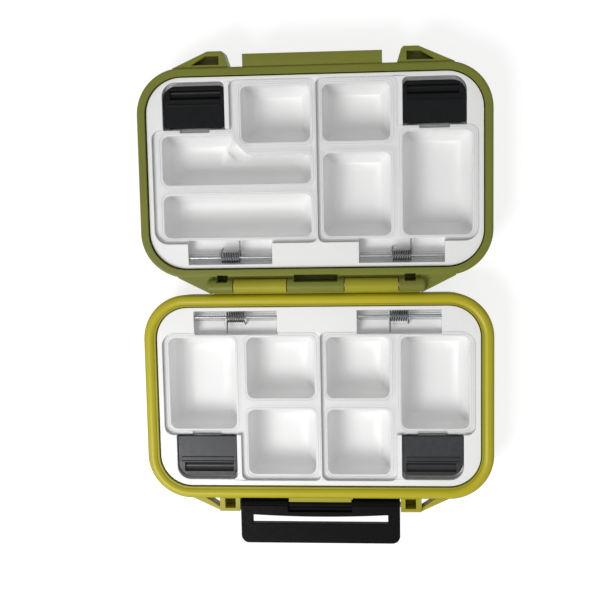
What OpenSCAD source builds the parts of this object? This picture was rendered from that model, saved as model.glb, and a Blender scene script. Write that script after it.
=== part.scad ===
// Pocket tackle box, shown opened flat. Two shallow halves turn on one hinge. Each half is a
// shell with a tray of cells inside, and each tray is closed by two sprung clear covers.
// The origin is the centre of the base half's back face. The base lies at -Y of the hinge and
// the lid at +Y. Both halves are drawn with x to the right, v away from the hinge axis and z up.

/* [Shells] */
// Height of each half
half_h = 17.5; // [16:0.5:24]
// Width of the box, across its base half
base_w = 120.8; // [113:0.1:141]
// Depth of the base half
base_d = 72.1; // [67:0.1:91]
// How much narrower the lid half is
lid_narrow = 0.8; // [0:0.1:3]
// How far the lid's front stays behind the base's front
lid_short = 1.1; // [0:0.1:2]
// Radius of the outline's corners
corner_r = 15.5; // [14:0.5:20]
// Radius along the edge of the back
back_r = 3; // [1:0.5:5]
// Thickness of the side walls
wall = 2; // [1.2:0.1:2.2]
// How far the side walls lean in towards the back
wall_slope = 1.2; // [0:0.1:1.2]
// Radius along the outer edge of each rim
rim_round = 0.8; // [0.4:0.1:1]
// Thickness of the back
back_t = 1.2; // [0.8:0.1:2]
// Width of the lid's rim
lid_rim = 2.7; // [2.5:0.1:4]
// Width of the base's rim
base_rim = 4.1; // [4:0.1:6]
// Ledge inside the rim, which carries the tray
ledge = 0.6; // [0.4:0.1:1]
// Depth of the base's rim shoulder below the meeting plane
shoulder = 0.7; // [0.4:0.1:1]
// Width of the sealing ring
seal_w = 3; // [2:0.1:3.4]
// Depth of the sealing ring's groove
seal_groove = 1; // [0.6:0.1:1.6]

/* [Main hinge] */
// Radius of the hinge barrel
barrel_r = 2.4; // [2:0.1:2.4]
// Gap from the hinge axis to the lid
lid_back = 3; // [2.6:0.1:4]
// Gap from the hinge axis to the base
base_back = 3; // [2.6:0.1:4]
// Half the length of the barrel
barrel_half = 37.2; // [34:0.1:42]
// Where each end knuckle meets its neighbour
knuckle_outer = 28.2; // [24:0.1:32]
// Where the middle knuckle meets its neighbours
knuckle_inner = 9.8; // [6:0.1:14]
// Gap between neighbouring knuckles
knuckle_gap = 0.3; // [0.2:0.05:0.6]
// Height of the arms that carry the knuckles
arm_h = 7; // [4:0.5:10]
// Radius of the hinge pin
hinge_pin_r = 0.9; // [0.6:0.1:1.2]
// From the end of each gusset wing to the side of the lid
wing_side = 12.5; // [9:0.5:14]

/* [Trays] */
// Depth of the deck below the meeting plane
deck_drop = 1.4; // [1:0.1:2.5]
// Thickness of the deck
deck_t = 2.2; // [1.8:0.1:3]
// Gap between the tray and the rim
tray_gap = 0.4; // [0.2:0.05:0.6]
// Thickness of the cells' floor
cell_floor = 1; // [0.6:0.1:2]
// Radius of the scoop at the foot of each cell wall
scoop_r = 7; // [3:0.5:8]
// Radius of each cell's upright corners
cell_r = 2.4; // [1.5:0.1:4]
// Wall between a cover bead and the cell below it
cell_lip = 1; // [0.6:0.1:1.4]
// Deck beside the lid covers
lid_deck_side = 2.2; // [1.6:0.1:4]
// Deck beside the base covers
base_deck_side = 2.3; // [1.6:0.1:4]
// Deck between the lid covers and the rim at the hinge
lid_deck_rear = 9.1; // [8.9:0.1:12]
// Deck between the base covers and the rim at the hinge
base_deck_rear = 9.4; // [8.9:0.1:12]
// Deck between the lid covers and the rim at the front
lid_deck_front = 1.7; // [1.4:0.1:3]
// Deck between the base covers and the rim at the front
base_deck_front = 2.4; // [1.4:0.1:3]
// Width of the tall cells
tall_w = 25.4; // [22:0.1:28]
// Width of the deep end of the L-shaped cell
ell_w = 26.5; // [22:0.1:28]
// Rib between the columns
rib = 2; // [1.6:0.1:3]
// Rib beside the L-shaped cell
ell_rib = 1; // [0.8:0.1:2]
// Depth of the lid's first row of cells
long_d = 16.5; // [15:0.1:20]
// Rib in front of the first row
long_rib = 1.6; // [1:0.1:2.5]
// Depth of the shallow arm of the L-shaped cell
ell_d = 11.9; // [10.5:0.1:16]
// Slanted corner of the L-shaped cell
ell_slant = 4.2; // [2:0.1:4.2]
// Rib between the rows of square cells
row_rib = 2.1; // [1:0.1:3]
// Depth of the base's first row of square cells
base_row_d = 23.4; // [20:0.1:28]

/* [Covers] */
// Thickness of a cover
cover_t = 1.3; // [0.8:0.1:1.6]
// Height of the raised bead over each cell
bead_h = 0.4; // [0.2:0.1:0.6]
// Width of the raised bead
bead_w = 0.6; // [0.4:0.1:0.9]
// Gap around a cover
cover_gap = 0.25; // [0.2:0.05:0.4]
// Line between the two covers, from the middle of the box
split_x = 0.9; // [0:0.1:2]
// Gap between the two covers
split_gap = 0.6; // [0.4:0.1:1]
// Radius of a cover's outer corners
cover_r = 4.5; // [2:0.1:6]
// Radius of a cover's corner beside its notch
notch_r = 3; // [1:0.1:4]
// Edge from the covers to the outermost beads
bead_edge = 0.8; // [0.5:0.1:1.5]
// Length of each hinge recess in the deck
recess_w = 29; // [20:0.5:34]
// Depth of the hinge recess from the deck
recess_depth = 4.6; // [4.4:0.1:5.5]
// Middle of the hinge recess, from the cover's outer edge
recess_in = 25.75; // [20:0.05:28]
// Cover hinge axis, from the rim's inner edge
axis_in = 3.95; // [3.9:0.05:4.4]
// Hinge recess, from the rim's inner edge
recess_rear = 1.7; // [1.6:0.1:1.7]
// Radius of the cover pins
cover_pin_r = 0.5; // [0.4:0.05:0.7]
// Length of each cover pin end held in the tray
cover_pin_hold = 1.4; // [1:0.1:3]

/* [Springs] */
// Mean radius of the cover springs
spring_r = 1.7; // [1.5:0.05:1.8]
// Wire of the cover springs
spring_wire = 0.45; // [0.3:0.05:0.5]
// Pitch of the cover springs
spring_pitch = 0.95; // [0.92:0.01:1.2]
// Whole curls of each cover spring
spring_turns = 6; // [4:1:8]
// Mean radius of the return springs
return_r = 0.8; // [0.6:0.05:0.9]
// Wire of the return springs
return_wire = 0.3; // [0.2:0.05:0.35]
// Whole curls of each return spring
return_turns = 5; // [3:1:6]

/* [Buttons] */
// Width of a button
button_w = 20.7; // [16:0.1:24]
// Depth of a button
button_d = 14; // [12:0.1:15]
// Height of a button
button_h = 4.4; // [4:0.1:5]
// Height of a button's plate, above its narrower body
plate_h = 2.3; // [2:0.1:2.6]
// Gap around a button
button_gap = 0.3; // [0.2:0.05:0.5]
// Travel of a button
button_travel = 1.2; // [0.8:0.1:2]
// Radius of a button's big corner
button_r = 4.4; // [3:0.1:6]
// Radius of a button's other front corner
button_inner_r = 1.5; // [0.5:0.1:2]
// Deck between a notch and its button
button_side = 2.1; // [2.1:0.1:3]
// Width of the notch in a lid cover
lid_notch_w = 26.9; // [26:0.1:28]
// Width of the notch in a base cover
base_notch_w = 27; // [26:0.1:28]
// Depth of the cover notch
notch_d = 16.3; // [16:0.1:18]
// Width of the catch tab on a cover
tab_w = 9.7; // [6:0.1:14]
// Height of the catch tab
tab_h = 1.3; // [0.8:0.1:1.6]

/* [Latch] */
// Room beside the latch, to each side of the box
latch_side = 32.45; // [30:0.05:34]
// Middle of the latch, from the middle of the box
latch_x = 0; // [0:0.1:2]
// Height of the latch axis
latch_z = 14.1; // [13.8:0.1:14.3]
// Gap from the base wall to the latch axis
latch_out = 2.7; // [2.6:0.1:3.2]
// Reach of the latch from its axis
latch_reach = 13.5; // [12.5:0.1:16]
// Thickness of the latch
latch_t = 2.8; // [2.4:0.1:2.8]
// Radius of the latch knuckles
latch_knuckle_r = 2.2; // [2:0.1:2.4]
// Radius of the latch's outer corners
latch_r = 2.8; // [1.5:0.1:4]
// Width of the latch's side arms
latch_arm = 4.2; // [3:0.1:5]
// Opening of the latch slot
latch_slot = 3.1; // [3:0.1:3.4]
// Bow of the slot's rear edge towards the tip
latch_bow = 0.7; // [0:0.1:0.8]
// Width of the middle lug under the latch
lug_w = 21.9; // [16:0.1:28]
// Radius of the latch pin
latch_pin_r = 0.9; // [0.6:0.1:1.1]
// Gap beside the latch
latch_gap = 0.3; // [0.2:0.05:0.6]
// Width of each ear on the base
base_ear_w = 7.2; // [5:0.1:9]
// Reach of each ear past the latch axis
base_ear_reach = 2.2; // [2:0.1:4]
// How far the lid's lip stops short of the end of the latch slot
lip_short = 0.4; // [0.3:0.1:4]
// Reach of the lid's lip
lip_d = 4.2; // [3.5:0.1:4.4]
// Thickness of the lid's lip
lip_t = 1.9; // [1.5:0.1:2]
// Reach of each ear on the lid
lid_ear_d = 5.3; // [4:0.1:6]
// Outer foot of each ear on the lid, from the side of the lid
lid_ear_side = 12.7; // [10:0.1:15]
// Length of each ear's sloping side on the lid
lid_ear_slope = 12; // [6:0.1:12]

/* [Hidden] */
$fn = 48;

// The halves and their sides, as places in the lists below
LID = 0;
BASE = 1;
LEFT = -1;
RIGHT = 1;

olive = [0.55, 0.54, 0.19];
lime = [0.76, 0.72, 0.22];
white = [0.93, 0.93, 0.93];
clear = [0.85, 0.87, 0.88, 0.45];
black = [0.12, 0.12, 0.13];
steel = [0.6, 0.6, 0.6];

cut = 1;                // how far a cutting shape runs past what it cuts
overlap = 0.4;          // how far a joined shape runs into its neighbour
pin_fit = 0.02;         // radial room of a held pin
pin_run = 0.06;         // radial room of a turning pin
touch = 0.03;           // room between a spring and what it bears on

lid_w = base_w - lid_narrow;
lid_d = base_back + base_d - lid_short - lid_back;
back_gap = [lid_back, base_back];
wall_root = wall_slope + overlap;   // how far a joined foot runs into a wall
hinge_y = base_d / 2 + base_back;
half_w = [lid_w, base_w];
half_d = [lid_d, base_d];
rim_w = [lid_rim, base_rim];
deck_side = [lid_deck_side, base_deck_side];
deck_rear = [lid_deck_rear, base_deck_rear];
deck_front = [lid_deck_front, base_deck_front];

// Opening inside each rim: half its width, its edge at the hinge and its front edge
open_x = half_w / 2 - rim_w;
open_v0 = back_gap + rim_w;
open_v1 = back_gap + half_d - rim_w;
open_r = [for (rim = rim_w) corner_r - rim];

seat_gap = 0.1;         // room under a closed cover
block_gap = 0.3;        // room round the cells, inside the shell
deck_z = half_h - deck_drop;
ledge_z = deck_z - deck_t;
cover_z = deck_z - cover_t;
cover_seat = cover_z - seat_gap;
floor_z = back_t + block_gap + cell_floor;

// Covers and their hinges
cover_x = open_x - deck_side;
cover_v0 = open_v0 + deck_rear;
cover_v1 = open_v1 - deck_front;
notch_v = [for (front = cover_v1) front - notch_d];
notch_x = cover_x - [lid_notch_w, base_notch_w];
recess_x = [for (edge = cover_x) edge - recess_in];
recess_v = [for (rear = open_v0) rear + recess_rear];
axis_v = [for (rear = open_v0) rear + axis_in];
recess_z = deck_z - recess_depth;
recess_under = 0.8;     // how far the hinge recess runs on below a cover
recess_wall = 0.9;
barrel_gap = 0.3;
cover_barrel_r = cover_t;
coil_part = 0.72;       // part of a curl past the whole ones, from leg to leg
coil_span = spring_pitch * (spring_turns + coil_part) + spring_wire;
coil_slot = coil_span + 2 * barrel_gap;
coil_outer = spring_r + spring_wire / 2;
strip_gap = 0.65;       // room between the coil and the cover's edge
strip_v = coil_outer + strip_gap;

// Springs
leg_rise = 14;          // slope of the leg under the cover
leg_lean = 20;          // lean of the leg on the recess floor
return_part = 0.25;     // part of a curl past the whole ones of a return spring

// Cells
lid_left_inset = 1.2;   // further inset of the lid's left cells from the cover's edge
scoop_part = 0.45;      // largest scoop, as a part of the cell's width
slant_w = ell_slant * sqrt(2) + 2 * cell_r + cell_lip;
slant_d = 2 * cell_r + cell_lip + bead_w;

// Buttons
button_rear = 0.8;      // room between a cover and its button
button_v = [for (notch = notch_v) notch + button_rear];
button_x = [for (notch = notch_x) notch + button_side];
button_drop = 1;        // top of a button, below the deck
button_top = deck_z - button_drop;
button_z = button_top - button_h;
button_floor = button_z - button_gap;
button_stop = 0.1;      // room left when a button is pressed home
button_room = button_travel + button_stop;
small_r = 0.8;
rail_start = 1;
grip_v = [7.4, 8.9];
grip_w = 0.5;
grip_h = 0.35;
grip_edge = 1.2;
dish_v = 11.1;
dish_r = 1.6;
dish_d = 1.1;
dish_end = 2.2;         // from the big corner's side to the dish
rail_w = 0.8;
rail_h = 0.7;
rail_z = button_z + button_gap;
plate_z = button_top - plate_h;
body_in = 1.5;          // from the side of a button's plate to its body
body_d = button_d - 2.2;
return_cut = 2.4;       // height of the hollow for the return spring
return_slot = 3;        // width of that hollow
return_in = 6;          // from the cover edge of a button to its return spring
tab_back = 0.7;         // root of the catch tab behind the notch edge
tab_room = 0.25;

// Rims
rim_ease = 0.1;         // room between each half and the meeting plane
ledge_h = 2.4;
seal_shift = 0.1;
seal_crown = 0.7;       // radius of the seal's top, as a part of its width
seal_z = half_h - shoulder - seal_groove;
rim_top = [half_h - rim_ease, half_h - shoulder];
web_top = [for (top = rim_top) top - rim_round - rim_ease];

// Main hinge
hinge_z = half_h;
barrel_ease = 0.8;
pin_end = 1;            // from the end of the barrel to the end of the pin
web_slot_v = [1.4, 3.7];
web_slot_depth = 6.5;
seat_v = 0.6;           // room between a hinge seat and the other half
web_slot_z = [hinge_z - web_slot_depth, hinge_z + barrel_r + cut];
web_slot_mid = 14.9;
web_slot_x = 30.3;
web_slot_end = 3.6;
wing_past = base_back - 0.4;
wing_drop = 0.4;
wing_t = 1.8;

// Latch
latch_w = base_w - 2 * latch_side;
latch_v = base_back + base_d + latch_out;
latch_left = latch_x - latch_w / 2;
latch_right = latch_x + latch_w / 2;
latch_low = 0.4;        // underside of the latch, below its axis
lip_drop = 0.8;         // top of the lip, below the meeting plane
slot_in = half_h + lip_drop + (lip_t - latch_bow) / 2 - latch_z;
slot_left = latch_left + latch_arm;
slot_right = latch_right - latch_arm;
middle_r = 1.5;         // radius of the latch round its pin, between the knuckles
lug_low = 2.9;          // underside of the lug, below the latch axis
lug_high = 1.8;         // top of the lug, above the latch axis
lug_out = 1.5;          // reach of the lug's upper part from the wall
step_v = 2.2;           // the latch's lowered root over the lug: its length and its height
step_z = 1;
ear_z0 = 8;
ear_z1 = 15.9;
ear_inner = 1.6;
ear_outer = 1.9;
ear_end = 1.1;
ear_floor = 9.5;
pin_hold = 1.3;         // length of each latch pin end held in an ear
lug_left = latch_x - lug_w / 2;
lug_right = latch_x + lug_w / 2;
bow_steps = 16;
pin_left = latch_left - latch_gap - pin_hold;
pin_right = latch_right + latch_gap + pin_hold;
brace_w = 1.2;
brace_run = 10.3;
brace_z0 = 10;
brace_z1 = 15;
lid_front = lid_back + lid_d;
lid_ear_foot = lid_w / 2 - lid_ear_side;
lid_ear_z0 = 9;
lid_ear_z1 = 16.5;
lid_ear_dip = 5;
lid_ear_wall = 1.6;
lid_ear_inner = 3.2;
lid_ear_lean = 1.4;
lid_ear_tail = 6.4;

module place(half) {
    translate([0, hinge_y, 0])
        mirror([0, half == BASE ? 1 : 0, 0])
            children();
}

module round_rect(x0, v0, x1, v1, r) {
    translate([x0 + r, v0])
        square([x1 - x0 - 2 * r, v1 - v0]);
    translate([x0, v0 + r])
        square([x1 - x0, v1 - v0 - 2 * r]);
    for (x = [x0 + r, x1 - r], v = [v0 + r, v1 - r])
        translate([x, v])
            circle(r);
}

module slab(x0, v0, x1, v1, r, z0, z1) {
    translate([0, 0, z0])
        linear_extrude(z1 - z0)
            round_rect(x0, v0, x1, v1, r);
}

// Box between two values of x, v and z, given in any order
module bar(xs, vs, zs) {
    translate([min(xs), min(vs), min(zs)])
        cube([abs(xs[1] - xs[0]), abs(vs[1] - vs[0]), abs(zs[1] - zs[0])]);
}

// Rod along x
module rod(xs, v, z, r) {
    translate([min(xs), v, z])
        rotate([0, 90, 0])
            cylinder(h = abs(xs[1] - xs[0]), r = r);
}

// A wall's section carried round a rounded rectangle. The section has the distance from the
// outer face along x and the height along y.
module ring(x0, v0, x1, v1, r) {
    for (side = [0, 1]) {
        translate([x0 + r, side == 0 ? v0 : v1, 0])
            mirror([0, side, 0])
                rotate([90, 0, 90])
                    linear_extrude(x1 - x0 - 2 * r)
                        children();
        translate([side == 0 ? x0 : x1, v1 - r, 0])
            mirror([side, 0, 0])
                rotate([90, 0, 0])
                    linear_extrude(v1 - v0 - 2 * r)
                        children();
    }
    for (c = [[x1 - r, v1 - r, 0], [x0 + r, v1 - r, 90], [x0 + r, v0 + r, 180], [x1 - r, v0 + r, 270]])
        translate([c[0], c[1], 0])
            rotate([0, 0, c[2]])
                rotate_extrude(angle = 90)
                    translate([r, 0])
                        mirror([1, 0])
                            children();
}

// --- Shells ---

// Section through a shell's wall: wall, rounded back edge, rim and the ledge for the tray
module wall_section(half) {
    rim = rim_w[half];
    top = rim_top[half];
    in = wall_slope + back_r;
    inside = max(rim + ledge, in + back_r) + cut;
    room_top = ledge_z - ledge_h;
    difference() {
        union() {
            polygon([
                [0, top - rim_round], [wall_slope, back_r], [rim + ledge, back_r],
                [rim + ledge, top], [rim_round, top], [rim_round, top - rim_round]
            ]);
            translate([rim_round, top - rim_round])
                circle(rim_round);
            translate([in, 0])
                square([back_r, back_t]);
            translate([in, back_r])
                circle(back_r);
        }
        polygon([
            [wall + wall_slope, back_t], [inside, back_t], [inside, room_top],
            [wall + wall_slope * (1 - room_top / half_h), room_top]
        ]);
        translate([rim, ledge_z])
            square([ledge + cut, half_h]);
    }
}

module shell_body(half) {
    v0 = back_gap[half];
    v1 = v0 + half_d[half];
    x = half_w[half] / 2;
    ring(-x, v0, x, v1, corner_r)
        wall_section(half);
    in = wall_slope + 2 * back_r;
    slab(-x + in, v0 + in, x - in, v1 - in, corner_r - in, 0, back_t);
}

// Rod along x with a rounded far end
module round_rod(x0, x1, v, z, r, ease) {
    length = abs(x1 - x0);
    translate([x0, v, z])
        mirror([x1 < x0 ? 1 : 0, 0, 0])
            rotate([0, 90, 0])
                rotate_extrude() {
                    square([r, length - ease]);
                    square([r - ease, length]);
                    translate([r - ease, length - ease])
                        circle(ease);
                }
}

module knuckle_arm(half, xs) {
    bar(xs, [0, back_gap[half] + wall_root], [hinge_z - arm_h, web_top[half]]);
}

// Hollow seat behind a knuckle of the other half
module hinge_seat(half, xs) {
    difference() {
        bar(xs, [seat_v, back_gap[half] + wall_root], [hinge_z - arm_h, web_top[half]]);
        rod([-barrel_half, barrel_half], 0, hinge_z, barrel_r + knuckle_gap);
    }
}

module base_shell() {
    wall_v = base_back + base_d;
    inner = knuckle_inner + knuckle_gap / 2;
    outer = knuckle_outer - knuckle_gap / 2;
    seat_end = barrel_half - 2 * barrel_ease - knuckle_gap;
    color(lime)
        place(BASE)
            difference() {
                union() {
                    shell_body(BASE);
                    hinge_seat(BASE, [-inner, inner]);
                    for (s = [LEFT, RIGHT]) {
                        rod([s * inner, s * outer], 0, hinge_z, barrel_r);
                        knuckle_arm(BASE, [s * inner, s * outer]);
                        hinge_seat(BASE, [s * outer, s * seat_end]);
                        base_ear(s, wall_v);
                    }
                    difference() {
                        union() {
                            bar([lug_left, lug_right], [wall_v - wall_root, latch_v + latch_gap],
                                [latch_z - lug_low, latch_z - latch_gap]);
                            bar([lug_left, lug_right], [wall_v - wall_root, wall_v + lug_out],
                                [latch_z - lug_low, latch_z + lug_high]);
                        }
                        rod([2 * lug_left, 2 * lug_right], latch_v, latch_z, middle_r + latch_gap);
                    }
                }
                base_seal_room();
                rod([-barrel_half, barrel_half], 0, hinge_z, hinge_pin_r + pin_fit);
                rod([pin_left, pin_right], latch_v, latch_z, latch_pin_r + pin_fit);
            }
}

// Ear beside the latch, with a hollow in its top and a brace to the wall
module base_ear(s, wall_v) {
    ear_v = latch_v + base_ear_reach;
    inner = s == LEFT ? latch_left - latch_gap : latch_right + latch_gap;
    outer = inner + s * base_ear_w;
    difference() {
        bar([inner, outer], [wall_v - wall_root, ear_v], [ear_z0, ear_z1]);
        bar([inner + s * ear_inner, outer - s * ear_outer], [wall_v + latch_gap, ear_v - ear_end],
            [ear_floor, ear_z1 + cut]);
    }
    translate([0, 0, brace_z0])
        linear_extrude(brace_z1 - brace_z0)
            polygon([
                [outer - s * overlap, ear_v], [outer, ear_v],
                [outer + s * brace_run, wall_v], [outer + s * brace_run, wall_v - wall_root],
                [outer + s * (brace_run - 2 * brace_w), wall_v - wall_root],
                [outer, ear_v - brace_w], [outer - s * overlap, ear_v - brace_w]
            ]);
}

module seal_section() {
    mid = base_rim / 2 - seal_shift;
    top = half_h - rim_ease;
    crown = seal_w * seal_crown;
    intersection() {
        translate([mid - seal_w / 2, seal_z])
            square([seal_w, top - seal_z]);
        translate([mid, top - crown])
            circle(crown);
    }
}

// Groove for the sealing ring
module base_seal_room() {
    x = base_w / 2;
    ring(-x, base_back, x, base_back + base_d, corner_r)
        translate([base_rim / 2 - seal_shift - seal_w / 2, seal_z])
            square([seal_w, half_h]);
}

module base_seal() {
    x = base_w / 2;
    color(lime)
        place(BASE)
            ring(-x, base_back, x, base_back + base_d, corner_r)
                seal_section();
}

module lid_shell() {
    inner = knuckle_inner - knuckle_gap / 2;
    outer = knuckle_outer + knuckle_gap / 2;
    lip_left = slot_left + latch_gap;
    lip_right = slot_right - lip_short;
    color(olive)
        place(LID)
            difference() {
                union() {
                    shell_body(LID);
                    rod([-inner, inner], 0, hinge_z, barrel_r);
                    knuckle_arm(LID, [-inner, inner]);
                    for (s = [LEFT, RIGHT]) {
                        round_rod(s * outer, s * barrel_half, 0, hinge_z, barrel_r, barrel_ease);
                        knuckle_arm(LID, [s * outer, s * (barrel_half - barrel_ease)]);
                        hinge_seat(LID, [s * inner, s * outer]);
                        wing(s);
                        lid_ear(s);
                    }
                    bar([lip_left, lip_right], [lid_front - wall_root, lid_front + lip_d],
                        [half_h - lip_drop - lip_t, half_h - lip_drop]);
                }
                rod([-barrel_half + pin_end - touch, barrel_half - pin_end + touch], 0, hinge_z,
                    hinge_pin_r + pin_run);
                bar([-web_slot_mid / 2, web_slot_mid / 2], web_slot_v, web_slot_z);
                for (s = [LEFT, RIGHT])
                    bar([s * web_slot_x, s * (web_slot_x + web_slot_end)], web_slot_v, web_slot_z);
            }
}

module wing(s) {
    translate([0, 0, hinge_z - wing_drop - wing_t])
        linear_extrude(wing_t)
            polygon([
                [s * (lid_w / 2 - wing_side), lid_back], [s * (lid_w / 2 - wing_side), lid_back + wall_root],
                [s * (barrel_half - 2 * barrel_ease), lid_back + wall_root],
                [s * (barrel_half - 2 * barrel_ease), -wing_past],
                [s * (barrel_half - barrel_ease), -wing_past]
            ]);
}

// Ear beside the lip, with a dip in its top
module lid_ear(s) {
    inner = s == LEFT ? latch_left - latch_gap : latch_right + latch_gap;
    top = lid_front + lid_ear_d;
    shoulder_x = s * (lid_ear_foot - lid_ear_slope);
    difference() {
        translate([0, 0, lid_ear_z0])
            linear_extrude(lid_ear_z1 - lid_ear_z0)
                polygon([
                    [inner, lid_front - wall_root], [inner, lid_front],
                    [inner + s * lid_ear_lean, top - small_r], [inner + s * (lid_ear_lean + small_r), top],
                    [shoulder_x, top], [s * lid_ear_foot, lid_front],
                    [s * lid_ear_foot, lid_front - wall_root]
                ]);
        translate([0, 0, lid_ear_z1 - lid_ear_dip])
            linear_extrude(lid_ear_dip + cut)
                polygon([
                    [inner + s * lid_ear_inner, lid_front + small_r],
                    [inner + s * lid_ear_inner, top - lid_ear_wall],
                    [shoulder_x + s * small_r, top - lid_ear_wall],
                    [s * (lid_ear_foot - lid_ear_tail), lid_front + small_r]
                ]);
    }
}

// --- Cells ---
// Each cell is a list of rectangles [u0, v0, u1, v1], where u is the distance from the middle
// of the box towards the cell's own side.

function u_in(side) = side * split_x + split_gap / 2;

function tall_cell(half) = let (
    u1 = cover_x[half] - bead_edge
) [u1 - tall_w, cover_v0[half] + bead_edge, u1, notch_v[half] - bead_edge];

// Square cells stand between the middle and a column whose inner edge is u1
function square_cells(side, half, u1, row_v) = let (
    u0 = u_in(side) + bead_edge,
    v0 = cover_v0[half] + bead_edge,
    v1 = cover_v1[half] - bead_edge
) [
    [[u0, v0, u1, row_v]],
    [[u0, row_v + row_rib, u1, v1]]
];

function lid_left_cells() = let (
    u0 = u_in(LEFT) + bead_edge,
    u1 = cover_x[LID] - bead_edge - lid_left_inset,
    v0 = cover_v0[LID] + bead_edge,
    ell_v = v0 + long_d + long_rib,
    column = u1 - ell_w
) [
    [[u0, v0, u1, v0 + long_d]],
    [[column, ell_v, u1, notch_v[LID] - bead_edge], [u0, ell_v, u1, ell_v + ell_d]],
    [[u0, ell_v + ell_d + row_rib, column - ell_rib, cover_v1[LID] - bead_edge]]
];

function lid_right_cells() = let (
    tall = tall_cell(LID),
    row_v = cover_v0[LID] + bead_edge + long_d + long_rib + ell_d
) concat([[tall]], square_cells(RIGHT, LID, tall[0] - rib, row_v));

function base_cells(side) = let (
    tall = tall_cell(BASE),
    row_v = cover_v0[BASE] + bead_edge + base_row_d
) concat([[tall]], square_cells(side, BASE, tall[0] - rib, row_v));

function cells(half, side) =
    half == BASE ? base_cells(side) : side == LEFT ? lid_left_cells() : lid_right_cells();

module cell_outline(cell, inset) {
    for (c = cell)
        round_rect(c[0] + inset, c[1] + inset, c[2] - inset, c[3] - inset, cell_r);
    if (len(cell) > 1)
        slant_place(cell)
            translate([-slant_w / 2, inset - slant_d])
                square([slant_w, slant_d - 2 * inset]);
}

// Moved to the middle of the slanted corner of an L-shaped cell, with the cell below it
module slant_place(cell) {
    translate([cell[0][0] - ell_slant / 2, cell[1][3] + ell_slant / 2])
        rotate([0, 0, 45])
            children();
}

// Section through a cell, with a scoop at the foot of each wall
module scoop_section(width) {
    top = half_h - floor_z;
    r = min(scoop_r, width * scoop_part);
    translate([r, 0])
        square([width - 2 * r, top]);
    translate([0, r])
        square([width, top - r]);
    for (x = [r, width - r])
        translate([x, r])
            circle(r);
}

// Room in one rectangle of a cell
module pocket(c) {
    u0 = c[0] + cell_lip;
    v0 = c[1] + cell_lip;
    u1 = c[2] - cell_lip;
    v1 = c[3] - cell_lip;
    intersection() {
        translate([u0, v1, floor_z])
            rotate([90, 0, 0])
                linear_extrude(v1 - v0)
                    scoop_section(u1 - u0);
        translate([u0, v0, floor_z])
            rotate([90, 0, 90])
                linear_extrude(u1 - u0)
                    scoop_section(v1 - v0);
        slab(u0, v0, u1, v1, cell_r, floor_z - cut, half_h + cut);
    }
}

// What is drawn for the right side, mirrored for the left one
module to_side(side) {
    mirror([side == LEFT ? 1 : 0, 0, 0])
        children();
}

// --- Trays ---

// Outline of a cover, grown by a gap
module cover_outline(half, side, grow) {
    u0 = u_in(side);
    u1 = cover_x[half];
    v0 = cover_v0[half];
    middle = notch_x[half] / 2;
    inner = u1 - max(cover_r, notch_r);
    round_rect(u0 - grow, v0 - grow, notch_x[half] + grow, cover_v1[half] + grow, cell_r);
    translate([middle, v0 - grow])
        square([inner - middle, notch_v[half] - v0 + 2 * grow]);
    translate([middle, v0 + cover_r])
        square([u1 - middle + grow, notch_v[half] - v0 - cover_r - notch_r]);
    translate([middle, v0 - grow])
        square([u1 - cover_r - middle, cover_r + 2 * grow]);
    translate([middle, notch_v[half] - notch_r - grow])
        square([u1 - notch_r - middle, notch_r + 2 * grow]);
    translate([u1 - cover_r, v0 + cover_r])
        circle(cover_r + grow);
    translate([u1 - notch_r, notch_v[half] - notch_r])
        circle(notch_r + grow);
}

// Outline of a button, with its big corner away from the middle and the hinge
module button_outline(half, grow, rear, front) {
    u0 = button_x[half] - grow;
    u1 = button_x[half] + button_w + grow;
    v0 = button_v[half] - rear;
    v1 = button_v[half] + button_d + front;
    r = button_r + grow;
    inner = button_inner_r + grow;
    translate([u0 + inner, v0])
        square([u1 - r - u0 - inner, v1 - v0]);
    translate([u0, v0])
        square([u1 - u0, v1 - r - v0]);
    translate([u0, v0])
        square([r, v1 - inner - v0]);
    translate([u0 + inner, v1 - inner])
        circle(inner);
    translate([u1 - r, v1 - r])
        circle(r);
}

module tray_body(half) {
    deck_x = open_x[half] - tray_gap;
    block_x = open_x[half] - ledge - block_gap;
    rear = open_v0[half];
    front = open_v1[half];
    slab(-deck_x, rear + tray_gap, deck_x, front - tray_gap, open_r[half] - tray_gap, ledge_z, deck_z);
    slab(-block_x, rear + ledge + block_gap, block_x, front - ledge - block_gap,
        open_r[half] - ledge - block_gap, back_t + block_gap, ledge_z + overlap);
}

module tray_rooms(half, side) {
    u0 = recess_x[half] - recess_w / 2;
    u1 = recess_x[half] + recess_w / 2;
    tab_u = button_x[half] + button_w / 2;
    tab_half = tab_w / 2 + tab_room;
    body_x = [button_x[half] + body_in - button_gap, button_x[half] + button_w - body_in + button_gap];
    rear = button_v[half] - button_gap;
    front = button_v[half] + body_d + button_room;
    translate([0, 0, cover_seat])
        linear_extrude(half_h)
            cover_outline(half, side, cover_gap);
    bar([u0, u1], [recess_v[half], cover_v0[half] + recess_under], [recess_z, half_h]);
    rod([u0 - cover_pin_hold, u1 + cover_pin_hold], axis_v[half], cover_z, cover_pin_r + pin_fit);
    translate([0, 0, plate_z - button_gap])
        linear_extrude(half_h)
            button_outline(half, button_gap, button_v[half] - notch_v[half], button_room);
    bar(body_x, [rear, front], [button_floor, half_h]);
    bar(body_x + rail_w * [-1, 1], [rear + rail_start, front - rail_start],
        [rail_z - button_gap, rail_z + rail_h + button_gap]);
    bar([tab_u - tab_half, tab_u + tab_half],
        [notch_v[half] - tab_back - tab_room, notch_v[half] + overlap],
        [cover_z - tab_h - tab_room, half_h]);
    for (cell = cells(half, side)) {
        for (c = cell)
            pocket(c);
        if (len(cell) > 1)
            slant_place(cell)
                pocket([-slant_w / 2 - cell_lip, -slant_d - cell_lip, slant_w / 2 + cell_lip, 0]);
    }
}

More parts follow.
